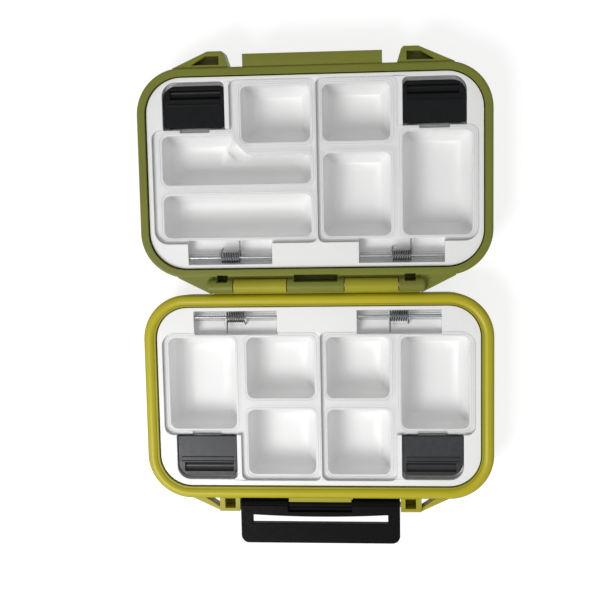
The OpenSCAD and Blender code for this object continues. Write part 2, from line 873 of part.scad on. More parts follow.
module tray(half) {
    color(white)
        place(half)
            difference() {
                tray_body(half);
                for (side = [LEFT, RIGHT])
                    to_side(side)
                        tray_rooms(half, side);
            }
}

// --- Covers, their pins and springs ---

module cover(half, side) {
    u0 = recess_x[half] - recess_w / 2 + cover_gap;
    u1 = recess_x[half] + recess_w / 2 - cover_gap;
    coil0 = recess_x[half] - coil_slot / 2;
    coil1 = recess_x[half] + coil_slot / 2;
    root = cover_v0[half] + overlap;
    tab_u = button_x[half] + button_w / 2;
    color(clear)
        place(half)
            to_side(side)
                difference() {
                    union() {
                        translate([0, 0, cover_z])
                            linear_extrude(cover_t)
                                cover_outline(half, side, 0);
                        for (us = [[u0, coil0], [coil1, u1]]) {
                            bar(us, [axis_v[half], root], [cover_z, deck_z]);
                            rod(us, axis_v[half], cover_z, cover_barrel_r);
                        }
                        bar([coil0 - overlap, coil1 + overlap], [axis_v[half] + strip_v, root],
                            [cover_z, deck_z]);
                        for (cell = cells(half, side))
                            translate([0, 0, deck_z - overlap])
                                linear_extrude(bead_h + overlap)
                                    difference() {
                                        cell_outline(cell, 0);
                                        cell_outline(cell, bead_w);
                                    }
                        bar([tab_u - tab_w / 2, tab_u + tab_w / 2],
                            [notch_v[half] - tab_back, button_v[half] - tab_room],
                            [cover_z - tab_h, cover_z + overlap]);
                    }
                    rod([u0 - cut, u1 + cut], axis_v[half], cover_z, cover_pin_r + pin_run);
                }
}

module cover_pin(half, side) {
    reach = recess_w / 2 + cover_pin_hold - touch;
    color(steel)
        place(half)
            to_side(side)
                rod([recess_x[half] - reach, recess_x[half] + reach], axis_v[half], cover_z, cover_pin_r);
}

// A wire is a list of places, each with its centre, an upright and a sideways direction
wire_sides = 6;
curl_steps = 8;

function wire_points(places, wire) = [
    for (p = places, i = [0 : wire_sides - 1])
        let (t = i * 360 / wire_sides)
            p[0] + (p[1] * cos(t) + p[2] * sin(t)) * wire / 2
];

function wire_faces(count) = concat(
    [for (i = [1 : wire_sides - 2]) [0, i + 1, i]],
    [
        for (k = [0 : count - 2], i = [0 : wire_sides - 1], half = [0, 1])
            let (
                a = k * wire_sides + i,
                b = k * wire_sides + (i + 1) % wire_sides
            )
                half == 0 ? [a, b, b + wire_sides] : [a, b + wire_sides, a + wire_sides]
    ],
    [
        for (i = [1 : wire_sides - 2])
            let (a = (count - 1) * wire_sides)
                [a, a + i, a + i + 1]
    ]
);

module wire_tube(places, wire) {
    polyhedron(points = wire_points(places, wire), faces = wire_faces(len(places)));
}

// A place on a coil about the x axis, at an angle from +v, and one further along its tangent
function coil_place(r, a, x, along) = [
    [x, r * cos(a) - along * sin(a), r * sin(a) + along * cos(a)],
    [0, cos(a), sin(a)],
    [1, 0, 0]
];

// A coil about the x axis between two angles, with a straight leg at each end
function coil(r, pitch, a0, a1, leg0, leg1) = let (
    steps = round((a1 - a0) / 360 * curl_steps),
    middle = pitch * (a1 - a0) / 720
) concat(
    [coil_place(r, a0, -middle, -leg0)],
    [
        for (i = [0 : steps])
            let (a = a0 + (a1 - a0) * i / steps)
                coil_place(r, a, pitch * (a - a0) / 360 - middle, 0)
    ],
    [coil_place(r, a1, middle, leg1)]
);

// Least gap between curls, from each ring of points to the rings about one curl on
function least_gap(places, wire) = let (
    points = wire_points(places, wire),
    count = len(places)
) min([
    for (k = [1 : count - 2], n = [k + curl_steps - 2 : 1 : min(k + curl_steps + 2, count - 1)])
        for (i = [0 : wire_sides - 1], j = [0 : wire_sides - 1])
            norm(points[k * wire_sides + i] - points[n * wire_sides + j])
]);

// Long leg: leaves the foot of the coil and rises to the underside of the cover
cover_leg = (spring_r * cos(leg_rise) - spring_wire / 2 - touch) / sin(leg_rise);
// Short leg: comes up from the floor of the hinge recess
tray_leg = (recess_depth - cover_t - spring_wire / 2 - touch + spring_r * sin(leg_lean)) / cos(leg_lean);
cover_turn = 360 * spring_turns + 270 + leg_rise;
cover_coil = coil(spring_r, spring_pitch, leg_lean, cover_turn, tray_leg, cover_leg);

return_v = [for (rear = button_v) rear + return_in];
return_span = body_d - return_in + button_room - 2 * touch;
return_curls = return_turns + return_part;
return_pitch = (return_span - return_wire) / return_curls;
return_coil = coil(return_r, return_pitch, 0, 360 * return_curls, return_wire, return_wire);

echo(cover_spring_least_gap = least_gap(cover_coil, spring_wire));
echo(return_spring_least_gap = least_gap(return_coil, return_wire));

// The long leg lies at the right end of a lid spring, and at the left end of a base spring
module cover_spring(half, side) {
    color(steel)
        place(half)
            translate([side * recess_x[half], axis_v[half], cover_z])
                mirror([half == BASE ? 1 : 0, 0, 0])
                    wire_tube(cover_coil, spring_wire);
}

// --- Buttons and their springs ---

module button(half, side) {
    u0 = button_x[half];
    u1 = u0 + button_w;
    v0 = button_v[half];
    middle = u0 + button_w / 2;
    color(black)
        place(half)
            to_side(side) {
                difference() {
                    union() {
                        translate([0, 0, plate_z])
                            linear_extrude(plate_h)
                                button_outline(half, 0, 0, 0);
                        bar([u0 + body_in, u1 - body_in], [v0, v0 + body_d], [button_z, plate_z + overlap]);
                        bar([u0 + body_in - rail_w, u1 - body_in + rail_w],
                            [v0 + rail_start, v0 + body_d - rail_start], [rail_z, rail_z + rail_h]);
                        for (v = grip_v)
                            bar([u0 + grip_edge, u1 - grip_edge], [v0 + v, v0 + v + grip_w],
                                [button_top - overlap, button_top + grip_h]);
                    }
                    rod([u0 + grip_edge, u1 - dish_end], v0 + dish_v, button_top + dish_r - dish_d, dish_r);
                    bar([middle - return_slot / 2, middle + return_slot / 2],
                        [v0 + return_in, v0 + body_d + cut],
                        [button_z - cut, button_z + return_cut]);
                }
            }
}

module return_spring(half, side) {
    color(steel)
        place(half)
            to_side(side)
                translate([button_x[half] + button_w / 2, return_v[half] + touch + return_span / 2,
                    button_z + return_cut / 2])
                    rotate([0, 0, 90])
                        wire_tube(return_coil, return_wire);
}

// --- Main hinge pin and latch ---

module main_hinge_pin() {
    color(steel)
        place(LID)
            rod([-barrel_half + pin_end, barrel_half - pin_end], 0, hinge_z, hinge_pin_r);
}

module latch_pin() {
    color(steel)
        place(BASE)
            rod([pin_left + touch, pin_right - touch], latch_v, latch_z, latch_pin_r);
}

module latch_outline() {
    translate([latch_left, latch_v])
        square([latch_w, latch_reach - latch_r]);
    translate([latch_left + latch_r, latch_v])
        square([latch_w - 2 * latch_r, latch_reach]);
    for (x = [latch_left + latch_r, latch_right - latch_r])
        translate([x, latch_v + latch_reach - latch_r])
            circle(latch_r);
}

module latch() {
    low = latch_z - latch_low;
    slot_v = latch_v + slot_in;
    color(black)
        place(BASE)
            difference() {
                union() {
                    difference() {
                        translate([0, 0, low])
                            linear_extrude(latch_t)
                                latch_outline();
                        bar([lug_left - latch_gap, lug_right + latch_gap], [latch_v - cut, latch_v + step_v],
                            [latch_z + step_z, half_h]);
                    }
                    rod([latch_left, latch_right], latch_v, latch_z, middle_r);
                    rod([latch_left, lug_left - latch_gap], latch_v, latch_z, latch_knuckle_r);
                    rod([lug_right + latch_gap, latch_right], latch_v, latch_z, latch_knuckle_r);
                }
                translate([0, 0, low - cut])
                    linear_extrude(half_h)
                        polygon([
                            [slot_left, slot_v - latch_slot / 2], [slot_left, slot_v + latch_slot / 2],
                            [slot_right, slot_v + latch_slot / 2], [slot_right, slot_v - latch_slot / 2],
                            for (i = [1 : bow_steps - 1])
                                let (t = 1 - 2 * i / bow_steps)
                                    [t * (slot_right - slot_left) / 2 + latch_x,
                                        slot_v - latch_slot / 2 + latch_bow * (1 - t * t)]
                        ]);
                rod([latch_left - cut, latch_right + cut], latch_v, latch_z, latch_pin_r + pin_run);
            }
}

base_shell();
lid_shell();
base_seal();
tray(BASE);  // base_tray
tray(LID);  // lid_tray
cover(LID, LEFT);  // lid_left_cover
cover(LID, RIGHT);  // lid_right_cover
cover(BASE, LEFT);  // base_left_cover
cover(BASE, RIGHT);  // base_right_cover
cover_pin(LID, LEFT);  // lid_left_cover_pin
cover_pin(LID, RIGHT);  // lid_right_cover_pin
cover_pin(BASE, LEFT);  // base_left_cover_pin
cover_pin(BASE, RIGHT);  // base_right_cover_pin
cover_spring(LID, LEFT);  // lid_left_spring
cover_spring(LID, RIGHT);  // lid_right_spring
cover_spring(BASE, LEFT);  // base_left_spring
cover_spring(BASE, RIGHT);  // base_right_spring
button(LID, LEFT);  // lid_left_button
button(LID, RIGHT);  // lid_right_button
button(BASE, LEFT);  // base_left_button
button(BASE, RIGHT);  // base_right_button
return_spring(LID, LEFT);  // lid_left_return
return_spring(LID, RIGHT);  // lid_right_return
return_spring(BASE, LEFT);  // base_left_return
return_spring(BASE, RIGHT);  // base_right_return
main_hinge_pin();
latch();
latch_pin();
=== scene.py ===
"""Pocket tackle box, opened flat, with its moulded shells, trays, clear covers and springs."""

from math import cos, degrees, pi, radians, sin

import bmesh
import bpy
from bpy.props import FloatProperty, FloatVectorProperty, IntProperty, PointerProperty
from mathutils import Matrix, Vector


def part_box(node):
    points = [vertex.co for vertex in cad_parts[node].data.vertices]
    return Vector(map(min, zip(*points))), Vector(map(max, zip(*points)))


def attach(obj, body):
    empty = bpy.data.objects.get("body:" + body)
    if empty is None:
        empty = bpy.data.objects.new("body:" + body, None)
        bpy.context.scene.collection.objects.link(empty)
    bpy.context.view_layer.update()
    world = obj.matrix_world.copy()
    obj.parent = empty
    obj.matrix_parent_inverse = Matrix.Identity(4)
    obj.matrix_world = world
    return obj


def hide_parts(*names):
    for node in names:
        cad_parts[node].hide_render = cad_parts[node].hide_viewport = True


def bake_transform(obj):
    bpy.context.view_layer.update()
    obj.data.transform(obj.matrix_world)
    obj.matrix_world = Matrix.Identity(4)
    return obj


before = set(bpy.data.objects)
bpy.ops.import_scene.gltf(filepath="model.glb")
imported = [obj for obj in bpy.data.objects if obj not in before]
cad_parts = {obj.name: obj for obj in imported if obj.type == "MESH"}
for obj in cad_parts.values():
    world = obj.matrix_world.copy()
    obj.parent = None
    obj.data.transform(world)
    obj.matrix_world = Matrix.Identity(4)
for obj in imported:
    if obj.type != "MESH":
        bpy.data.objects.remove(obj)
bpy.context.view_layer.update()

bl_info = {
    "name": "Pocket tackle box",
    "version": (1, 0, 0),
    "blender": (4, 5, 0),
    "location": "View3D > Sidebar > Tackle Box",
    "description": "Finishes the packed tackle box with moulded, clear and sprung pieces",
    "category": "Object",
}

MM = 0.001
HALVES = ("lid", "base")
SIDES = ("left", "right")
CORNERS = [(half, side) for half in HALVES for side in SIDES]
FACING = {"lid": 1, "base": -1}  # the way along y that leads from the hinge line to a half's front


def linear(code):
    """An sRGB hex colour as linear red, green and blue."""
    parts = [int(code[i : i + 2], 16) / 255 for i in (1, 3, 5)]
    return tuple(p / 12.92 if p <= 0.04045 else ((p + 0.055) / 1.055) ** 2.4 for p in parts)


def rgba(colour):
    """A linear colour with full alpha, as a node socket takes it."""
    return (colour[0], colour[1], colour[2], 1.0)


def shade_of(colour, factor):
    """The same colour, darker or lighter."""
    return tuple(min(1.0, c * factor) for c in colour[:3])


# --- Settings ---


def colour_property(name, description, code):
    """A colour that the user can change, given as an sRGB hex value."""
    return FloatVectorProperty(
        name=name, description=description, default=linear(code), subtype="COLOR", size=3, min=0, max=1
    )


def length_property(name, description, millimetres):
    """A length that the user can change, of up to a metre."""
    return FloatProperty(
        name=name, description=description, default=millimetres * MM,
        subtype="DISTANCE", unit="LENGTH", min=0, max=1, precision=5,
    )


def factor_property(name, description, default):
    """A share between 0 and 1 that the user can change."""
    return FloatProperty(
        name=name, description=description, default=default, subtype="FACTOR", min=0, max=1
    )


def steps_property(default):
    """How finely a spring is drawn."""
    return IntProperty(
        name="Steps", description="Straight pieces in each curl", default=default, min=8, max=64
    )


class TackleBoxShellSettings(bpy.types.PropertyGroup):
    """The shells"""

    base_colour: colour_property("Base colour", "Colour of the base's plastic", "#9f991b")
    lid_colour: colour_property("Lid colour", "Colour of the lid's plastic", "#737725")
    edge: length_property("Edge radius", "Rounding of the shells' edges", 0.09)
    grain: length_property("Grain", "Size of the moulded grain", 0.5)


class TackleBoxSealSettings(bpy.types.PropertyGroup):
    """The sealing ring"""

    colour: colour_property("Colour", "Colour of the sealing ring", "#b9ae1c")
    edge: length_property("Edge radius", "Rounding of the ring's edges", 0.12)


class TackleBoxTraySettings(bpy.types.PropertyGroup):
    """The trays"""

    colour: colour_property("Colour", "Colour of the trays", "#f4f4f3")
    edge: length_property("Edge radius", "Rounding of the trays' edges", 0.12)


class TackleBoxCoverSettings(bpy.types.PropertyGroup):
    """The clear covers"""

    colour: colour_property("Colour", "Tint of the covers", "#e4e8ea")
    # The grey and opacity of the edges and beads are painted shade, standing in for refraction and inner
    # reflection
    painted_edge_shade: colour_property("Edge colour", "Tint of the covers' edges and beads", "#9aa0a4")
    alpha: factor_property("Opacity", "How much of the light the flat of a cover stops", 0.05)
    painted_edge_shade_alpha: factor_property("Edge opacity", "How much of the light an edge or bead stops", 0.45)
    edge: length_property("Edge radius", "Rounding of the covers' edges", 0.12)


class TackleBoxMetalSettings(bpy.types.PropertyGroup):
    """The pins and the spring wire"""

    pin_colour: colour_property("Pin colour", "Colour of the hinge pins", "#a9aaab")
    wire_colour: colour_property("Wire colour", "Colour of the springs", "#6c6e71")


class TackleBoxSpringSettings(bpy.types.PropertyGroup):
    """The cover springs"""

    wire: length_property("Wire", "Diameter of a cover spring's wire", 0.52)
    radius: length_property("Radius", "Mean radius of a cover spring", 1.66)
    pitch: length_property("Pitch", "Distance from curl to curl of a cover spring", 0.81)
    curls: IntProperty(name="Curls", description="Whole curls of a cover spring", default=7, min=2, max=9)
    steps: steps_property(28)


class TackleBoxReturnSettings(bpy.types.PropertyGroup):
    """The return springs"""

    wire: length_property("Wire", "Diameter of a return spring's wire", 0.3)
    radius: length_property("Radius", "Mean radius of a return spring", 0.8)
    curls: FloatProperty(name="Curls", description="Curls of a return spring", default=5.25, min=2, max=9)
    steps: steps_property(24)


class TackleBoxButtonSettings(bpy.types.PropertyGroup):
    """The buttons"""

    lid_colour: colour_property("Lid colour", "Colour of the lid's buttons", "#0a0b0d")
    # The base's buttons are painted lighter than the lid's, as painted glare on them
    base_colour: colour_property("Base colour", "Colour of the base's buttons", "#1e1f23")
    edge: length_property("Edge radius", "Rounding of the buttons' edges", 0.12)


class TackleBoxLatchSettings(bpy.types.PropertyGroup):
    """The latch"""

    colour: colour_property("Colour", "Colour of the latch", "#060607")
    edge: length_property("Edge radius", "Rounding of the latch's edges", 0.2)


class TackleBoxStageSettings(bpy.types.PropertyGroup):
    """The floor, the light and the camera"""

    floor: colour_property("Floor", "Colour of the floor", "#f4f4f4")
    key: FloatProperty(
        name="Key", description="Power of the key lamp", default=2.85, min=0, unit="POWER"
    )
    sky: factor_property("Sky", "Level of the plain light all round", 0.35)
    lens: FloatProperty(
        name="Lens", description="Focal length of the camera", default=65.9, min=10, unit="CAMERA"
    )


# --- Materials ---

NOISE_LOW, NOISE_HIGH = 0.3, 0.7  # most of a noise texture's values lie between these
MIX_A, MIX_B, MIX_OUT = 6, 7, 2  # a Mix node's sockets for colours
WHITE = (1, 1, 1, 1)


def add_node(tree, kind, inputs=None, **settings):
    """Adds one node, with its settings, and its inputs as values or as links from other sockets."""
    made = tree.nodes.new(kind)
    for key, value in settings.items():
        setattr(made, key, value)
    for key, value in (inputs or {}).items():
        if isinstance(value, bpy.types.NodeSocket):
            tree.links.new(value, made.inputs[key])
        else:
            made.inputs[key].default_value = value
    return made


def blank_material(name):
    """A new material with an empty tree."""
    material = bpy.data.materials.new(name)
    material.use_nodes = True
    material.node_tree.nodes.clear()
    return material


def moulded_plastic(name, colour, grain, depth, rough, edge_wear_and_highlight=1.25, shine=0.5, tone=0.9):
    """Injection-moulded plastic. The tool leaves a fine grain, the colour drifts a little with the
    flow, and the edges are painted lighter, partly as rubbed wear and partly as a painted highlight. The
    gloss varies with the scuffs."""
    flow_size = 22 * MM
    scuff_size = 1.6 * MM
    gloss_swing = 0.06
    # That of polypropylene; the other moulded plastics here are close to it
    refraction = 1.49
    material = blank_material(name)
    tree = material.node_tree
    place = add_node(tree, "ShaderNodeTexCoord").outputs["Object"]
    fine = add_node(
        tree, "ShaderNodeTexNoise",
        {"Vector": place, "Scale": 1 / grain, "Detail": 3.0, "Roughness": 0.6},
    ).outputs["Fac"]
    flow = add_node(
        tree, "ShaderNodeTexNoise", {"Vector": place, "Scale": 1 / flow_size, "Detail": 2.0}
    ).outputs["Fac"]
    scuff = add_node(
        tree, "ShaderNodeTexNoise", {"Vector": place, "Scale": 1 / scuff_size, "Detail": 4.0}
    ).outputs["Fac"]
    edge = add_node(tree, "ShaderNodeAttribute", attribute_name="edge").outputs["Fac"]
    drift = add_node(
        tree, "ShaderNodeMapRange", {"Value": flow, "From Min": NOISE_LOW, "From Max": NOISE_HIGH}
    ).outputs["Result"]
    body = add_node(
        tree, "ShaderNodeMix",
        {"Factor": drift, MIX_A: rgba(shade_of(colour, tone)), MIX_B: rgba(colour)},
        data_type="RGBA",
    ).outputs[MIX_OUT]
    # Lighter edges: rubbed wear where the scuff noise falls, and a painted highlight along every sharp
    # edge
    rub_and_highlight = add_node(tree, "ShaderNodeMath", {0: edge, 1: scuff}, operation="MULTIPLY").outputs[0]
    worn_and_highlit = add_node(
        tree, "ShaderNodeMix",
        {"Factor": rub_and_highlight, MIX_A: body, MIX_B: rgba(shade_of(colour, edge_wear_and_highlight))},
        data_type="RGBA",
    ).outputs[MIX_OUT]
    gloss = add_node(
        tree, "ShaderNodeMapRange",
        {
            "Value": scuff, "From Min": NOISE_LOW, "From Max": NOISE_HIGH,
            "To Min": rough - gloss_swing, "To Max": rough + gloss_swing,
        },
    ).outputs["Result"]
    bump = add_node(
        tree, "ShaderNodeBump", {"Height": fine, "Strength": 0.6, "Distance": depth}
    ).outputs["Normal"]
    shader = add_node(
        tree, "ShaderNodeBsdfPrincipled",
        {
            "Base Color": worn_and_highlit, "Roughness": gloss, "IOR": refraction, "Normal": bump,
            "Specular IOR Level": shine,
        },
    )
    add_node(tree, "ShaderNodeOutputMaterial", {"Surface": shader.outputs[0]})
    return material


def clear_plastic(name, colour, alpha, rough):
    """Moulded clear styrene: smooth and glossy, with faint flow waves and a little haze."""
    wave_size = 9 * MM
    wave_depth = 0.02 * MM
    haze_size = 1.2 * MM
    tone = 0.94
    gloss_low, gloss_high = rough * 0.6, rough * 1.6
    refraction = 1.57
    material = blank_material(name)
    tree = material.node_tree
    place = add_node(tree, "ShaderNodeTexCoord").outputs["Object"]
    waves = add_node(
        tree, "ShaderNodeTexNoise", {"Vector": place, "Scale": 1 / wave_size, "Detail": 1.0}
    ).outputs["Fac"]
    haze = add_node(
        tree, "ShaderNodeTexNoise", {"Vector": place, "Scale": 1 / haze_size, "Detail": 3.0}
    ).outputs["Fac"]
    tint = add_node(
        tree, "ShaderNodeMix",
        {"Factor": waves, MIX_A: rgba(shade_of(colour, tone)), MIX_B: rgba(colour)},
        data_type="RGBA",
    ).outputs[MIX_OUT]
    gloss = add_node(
        tree, "ShaderNodeMapRange", {"Value": haze, "To Min": gloss_low, "To Max": gloss_high}
    ).outputs["Result"]
    bump = add_node(
        tree, "ShaderNodeBump", {"Height": waves, "Strength": 0.3, "Distance": wave_depth}
    ).outputs["Normal"]
    shader = add_node(
        tree, "ShaderNodeBsdfPrincipled",
        {"Base Color": tint, "Roughness": gloss, "IOR": refraction, "Alpha": alpha, "Normal": bump},
    )
    add_node(tree, "ShaderNodeOutputMaterial", {"Surface": shader.outputs[0]})
    return material


def drawn_steel(name, colour, rough):
    """Drawn steel wire or rod: fine marks, darker stains and a dull oiled shine."""
    mark_size = 0.35 * MM
    mark_depth = 0.01 * MM
    stain_size = 2.5 * MM
    tone = 0.7
    gloss_swing = 0.08
    material = blank_material(name)
    tree = material.node_tree
    place = add_node(tree, "ShaderNodeTexCoord").outputs["Object"]
    marks = add_node(
        tree, "ShaderNodeTexNoise", {"Vector": place, "Scale": 1 / mark_size, "Detail": 4.0}
    ).outputs["Fac"]
    stain = add_node(
        tree, "ShaderNodeTexNoise", {"Vector": place, "Scale": 1 / stain_size, "Detail": 2.0}
    ).outputs["Fac"]
    metal = add_node(
        tree, "ShaderNodeMix",
        {"Factor": stain, MIX_A: rgba(shade_of(colour, tone)), MIX_B: rgba(colour)},
        data_type="RGBA",
    ).outputs[MIX_OUT]
    gloss = add_node(
        tree, "ShaderNodeMapRange",
        {"Value": marks, "To Min": rough - gloss_swing, "To Max": rough + gloss_swing},
    ).outputs["Result"]
    bump = add_node(
        tree, "ShaderNodeBump", {"Height": marks, "Strength": 0.4, "Distance": mark_depth}
    ).outputs["Normal"]
    shader = add_node(
        tree, "ShaderNodeBsdfPrincipled",
        {"Base Color": metal, "Metallic": 1.0, "Roughness": gloss, "Normal": bump},
    )
    add_node(tree, "ShaderNodeOutputMaterial", {"Surface": shader.outputs[0]})
    return material


# --- Working on meshes ---

SAME_POINT = 0.004 * MM  # points of a CAD node closer than this are one
NO_LENGTH = 0.01 * MM  # an edge shorter than this is dropped
SAME_PLANE = radians(0.4)  # faces that turn less than this are one
SHARP_EDGE = radians(45)  # an edge that turns more than this is rounded
RUB_AND_HIGHLIGHT_STARTS, RUB_AND_HIGHLIGHT_FULL = 26, 42  # degrees of turn from which an edge is painted lighter, as rubbed wear and painted highlight, and fully lighter
WIRE_SEAM = 0.001 * MM  # points of a wire closer than this are one
WIRE_SMOOTH = radians(40)  # an edge of a wire that turns less than this is shaded smooth


def select_none():
    """Leaves edit mode, with nothing selected."""
    if bpy.context.object is not None and bpy.context.object.mode != "OBJECT":
        bpy.ops.object.mode_set(mode="OBJECT")
    bpy.ops.object.select_all(action="DESELECT")


def select_only(piece):
    """Leaves one object selected and active."""
    select_none()
    piece.select_set(True)
    bpy.context.view_layer.objects.active = piece


def middle_of(node):
    """The middle of a CAD node's box."""
    low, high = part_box(node)
    return (Vector(low) + Vector(high)) / 2


def copy_of_node(node, name):
    """A copy of a CAD node with its triangles merged into whole faces, none of them concave."""
    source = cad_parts[node]
    piece = bpy.data.objects.new(name, source.data.copy())
    piece.data.name = name
    piece.data.materials.clear()
    bpy.context.scene.collection.objects.link(piece)
    select_only(piece)
    bpy.ops.mesh.customdata_custom_splitnormals_clear()
    bpy.ops.object.mode_set(mode="EDIT")
    bpy.ops.mesh.select_all(action="SELECT")
    bpy.ops.mesh.remove_doubles(threshold=SAME_POINT)
    bpy.ops.mesh.dissolve_degenerate(threshold=NO_LENGTH)
    bpy.ops.mesh.dissolve_limited(angle_limit=SAME_PLANE)
    bpy.ops.mesh.vert_connect_concave()
    bpy.ops.object.mode_set(mode="OBJECT")
    return piece


def round_edges(piece, radius, segments=2):
    """Rounds every sharp edge, and keeps the flats flat."""
    select_only(piece)
    bevel = piece.modifiers.new("Edges", "BEVEL")
    bevel.width = radius
    bevel.segments = segments
    bevel.limit_method = "ANGLE"
    bevel.angle_limit = SHARP_EDGE
    bevel.use_clamp_overlap = False
    bpy.ops.object.modifier_apply(modifier=bevel.name)
    bpy.ops.object.shade_smooth_by_angle(angle=SHARP_EDGE)
    flats = piece.modifiers.new("Flats", "WEIGHTED_NORMAL")
    flats.keep_sharp = True
    flats.weight = 100  # the largest faces at a point set its normal
    bpy.ops.object.modifier_apply(modifier=flats.name)


def mark_edges(piece):
    """Writes an attribute that rises from 0 on the flats to 1 where the faces turn sharply."""
    mesh = bmesh.new()
    mesh.from_mesh(piece.data)
    values = []
    for vertex in mesh.verts:
        turn = 0.0
        for edge in vertex.link_edges:
            if len(edge.link_faces) == 2:
                turn = max(turn, degrees(edge.calc_face_angle(0.0)))
        values.append(min(1.0, max(0.0, (turn - RUB_AND_HIGHLIGHT_STARTS) / (RUB_AND_HIGHLIGHT_FULL - RUB_AND_HIGHLIGHT_STARTS))))
    mesh.free()
    attribute = piece.data.attributes.new("edge", "FLOAT", "POINT")
    attribute.data.foreach_set("value", values)


def finish_piece(piece, body, node, slot, *materials):
    """Gives a piece its materials and its body, and lets it stand for its CAD node."""
    for material in materials:
        piece.data.materials.append(material)
    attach(piece, body)
    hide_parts(node)


def mould(node, body, slot, plastic, edge, segments=2):
    """Puts a plastic copy of a CAD node in its place, with rounded edges painted lighter as rubbed wear
    and painted highlight.
    """
    piece = copy_of_node(node, f"{node}_moulded")
    round_edges(piece, edge, segments)
    mark_edges(piece)
    finish_piece(piece, body, node, slot, plastic)


def wire_along(name, points, wire):
    """A round wire along a path, closed at both ends."""
    select_none()
    bpy.ops.curve.primitive_nurbs_path_add(location=(0, 0, 0))
    path = bpy.context.object
    path.name = name
    path.data.splines.clear()
    spline = path.data.splines.new("POLY")
    spline.points.add(len(points) - 1)
    for point, place in zip(spline.points, points):
        point.co = (*place, 1.0)
    path.data.dimensions = "3D"
    path.data.twist_mode = "MINIMUM"
    path.data.bevel_depth = wire / 2
    path.data.bevel_resolution = 3
    path.data.use_fill_caps = True
    select_only(path)
    bpy.ops.object.convert(target="MESH")
    piece = bpy.context.object
    piece.data.name = name
    bpy.ops.object.mode_set(mode="EDIT")
    bpy.ops.mesh.select_all(action="SELECT")
    bpy.ops.mesh.remove_doubles(threshold=WIRE_SEAM)
    bpy.ops.mesh.normals_make_consistent(inside=False)
    bpy.ops.object.mode_set(mode="OBJECT")
    bpy.ops.object.shade_smooth_by_angle(angle=WIRE_SMOOTH)
    return piece


# --- Paths of the springs ---

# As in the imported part's own springs
LEG_RISE = radians(14)  # slope of the leg under the cover
LEG_LEAN = radians(20)  # lean of the leg on the recess floor
LEG_ROOM = 0.03 * MM  # room between a leg and what it bears on
RECESS_DEPTH = 3.3 * MM  # from the underside of a cover, level with its pin's axis, to the floor


def coil_place(radius, angle, along_axis, along_tangent):
    """A place on a coil about the x axis, or past it along the tangent."""
    return Vector((
        along_axis,
        radius * cos(angle) - along_tangent * sin(angle),
        radius * sin(angle) + along_tangent * cos(angle),
    ))


def cover_spring_path(look):
    """The path of a lid's cover spring, from the end of its tray leg to the end of its cover leg,
    with its pin's axis along x, and half the length of its coil."""
    first = LEG_LEAN
    last = 2 * pi * look.curls + radians(270) + LEG_RISE
    clear = look.wire / 2 + LEG_ROOM
    cover_leg = (look.radius * cos(LEG_RISE) - clear) / sin(LEG_RISE)
    tray_leg = (RECESS_DEPTH - clear + look.radius * sin(LEG_LEAN)) / cos(LEG_LEAN)
    count = round((last - first) / (2 * pi) * look.steps)
    middle = look.pitch * (last - first) / (4 * pi)
    path = [coil_place(look.radius, first, -middle, -tray_leg)]
    for i in range(count + 1):
        angle = first + (last - first) * i / count
        along = look.pitch * (angle - first) / (2 * pi) - middle
        path.append(coil_place(look.radius, angle, along, 0))
    path.append(coil_place(look.radius, last, middle, cover_leg))
    return path, middle


def return_spring_path(look, length):
    """The path of a return spring along the y axis."""
    count = round(look.curls * look.steps)
    path = []
    for i in range(count + 1):
        angle = 2 * pi * look.curls * i / count
        along = (i / count - 0.5) * length
        path.append(Vector((look.radius * cos(angle), along, look.radius * sin(angle))))
    return path


# --- Operators ---


class TACKLEBOX_OT_shells(bpy.types.Operator):
    """Finish the two moulded shells"""

    bl_idname = "tackle_box.shells"
    bl_label = "Shells"

    def execute(self, context):
        look = context.scene.tackle_box_shells
        for half, colour in (("base", look.base_colour), ("lid", look.lid_colour)):
            # Polypropylene: dense colour, an even satin from the tool, edges a little lighter as rubbed
            # wear and painted highlight
            plastic = moulded_plastic(
                f"polypropylene_{half}", colour, grain=look.grain, depth=0.02 * MM, rough=0.42, shine=0.32
            )
            mould(f"{half}_shell", half, f"{half}_plastic", plastic, look.edge)
        return {"FINISHED"}


class TACKLEBOX_OT_seal(bpy.types.Operator):
    """Finish the sealing ring in the base's rim"""

    bl_idname = "tackle_box.seal"
    bl_label = "Sealing ring"

    def execute(self, context):
        look = context.scene.tackle_box_seal
        # Soft moulded elastomer: brighter than the shell, with a silky sheen
        rubber = moulded_plastic(
            "elastomer_seal", look.colour,
            grain=0.35 * MM, depth=0.012 * MM, rough=0.34, shine=0.3, tone=0.94,
        )
        mould("base_seal", "base", "seal", rubber, look.edge)
        return {"FINISHED"}


class TACKLEBOX_OT_trays(bpy.types.Operator):
    """Finish the two white trays"""

    bl_idname = "tackle_box.trays"
    bl_label = "Trays"

    def execute(self, context):
        look = context.scene.tackle_box_trays
        # White ABS: bright and even, with a fine matt grain
        abs_plastic = moulded_plastic(
            "abs_white_moulded", look.colour,
            grain=0.4 * MM, depth=0.008 * MM, rough=0.38, edge_wear_and_highlight=1.04, tone=0.97,
        )
        for half in HALVES:
            mould(f"{half}_tray", half, "tray", abs_plastic, look.edge)
        return {"FINISHED"}


